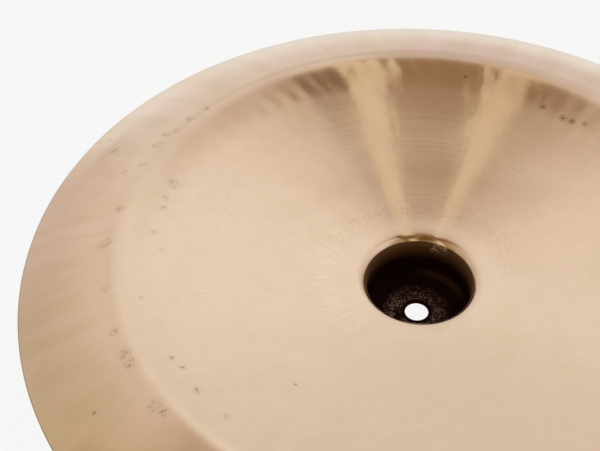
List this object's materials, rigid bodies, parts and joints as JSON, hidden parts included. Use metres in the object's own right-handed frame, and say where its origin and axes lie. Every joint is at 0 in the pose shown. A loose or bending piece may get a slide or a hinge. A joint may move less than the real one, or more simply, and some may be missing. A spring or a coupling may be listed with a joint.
{
  "type": "china cymbal",
  "caption": "Bronze china cymbal: deep round cup with a mounting hole, a bow rising around it and an outer flange bent back the other way, hollow side up.",
  "frame": {"origin": "centre of the mounting hole on the outer face of the cup's crown, which the cymbal stands on", "axes": "+Z along the axis of the hole, from the crown of the cup out of the hollow side"},
  "size_m": [0.4064, 0.4064, 0.0572],
  "materials": {
    "bronze": "hammered, lathed and polished cymbal bronze, left dark and unlathed inside the cup"
  },
  "bodies": {
    "root": {"cymbal": "bronze"}
  },
  "joints": []
}
